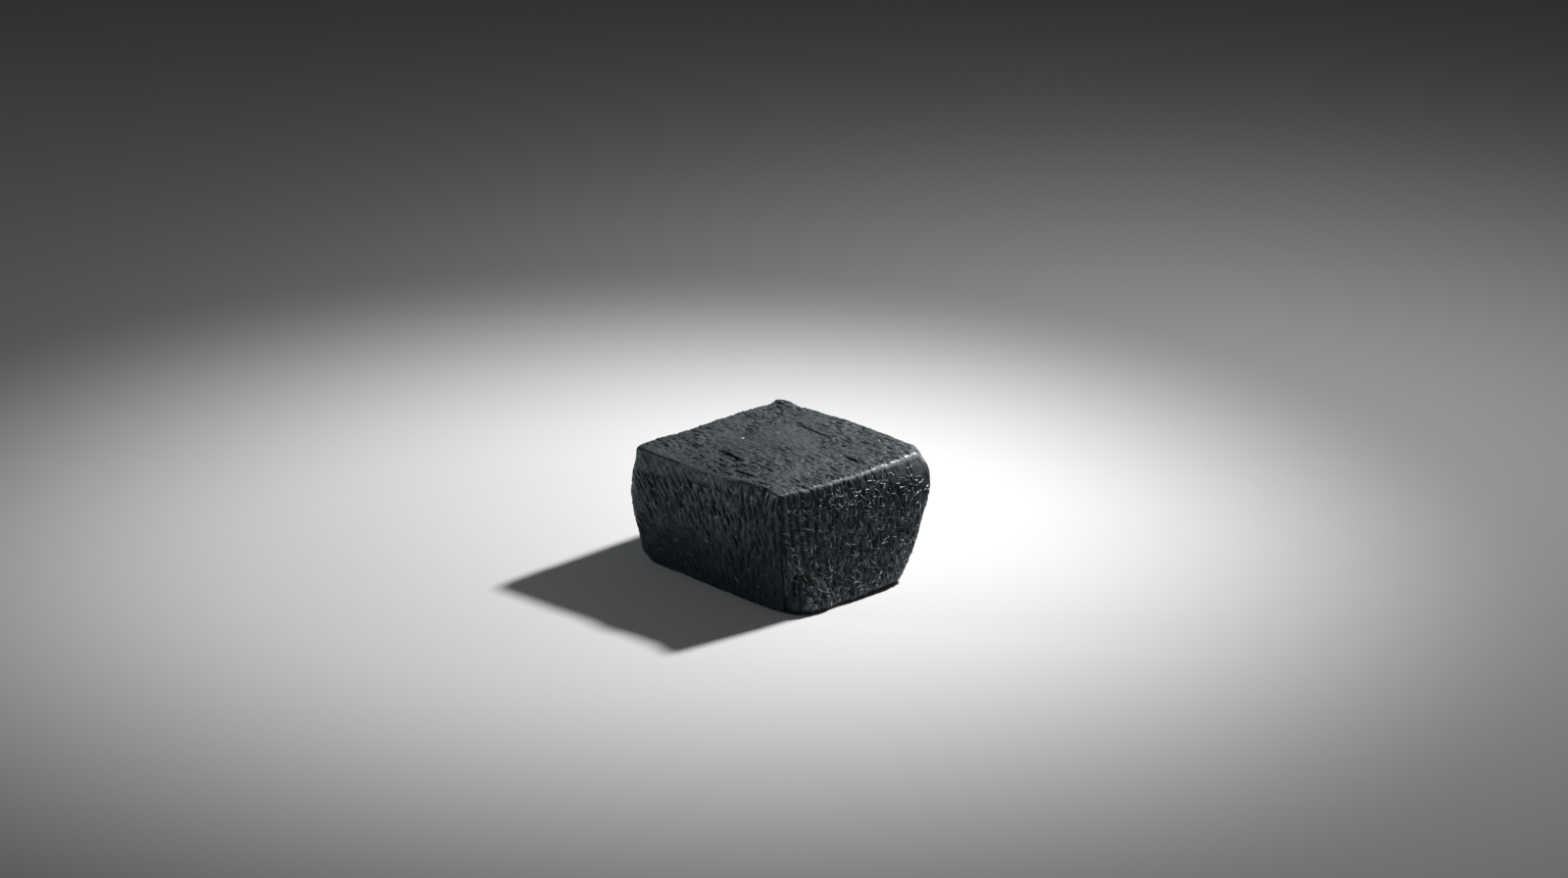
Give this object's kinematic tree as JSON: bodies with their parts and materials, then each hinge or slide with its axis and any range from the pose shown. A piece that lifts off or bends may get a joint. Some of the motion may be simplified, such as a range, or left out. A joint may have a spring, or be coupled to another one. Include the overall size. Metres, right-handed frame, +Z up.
{
  "type": "charcoal lump",
  "caption": "Squarish block of charred hardwood with bulging grained sides and a cracked flat top, lying on its flat underside",
  "frame": {"origin": "on the surface that the lump rests on, under the middle of its outline", "axes": "+Z up; X along the front face, left corner to front right corner; the front face looks to -Y, the right face to +X"},
  "size_m": [0.066, 0.0585, 0.0319],
  "materials": {
    "char": "matte charred, cool dark grey, slightly glossy on the crests"
  },
  "bodies": {
    "root": {"charcoal_lump": "char"}
  },
  "joints": []
}
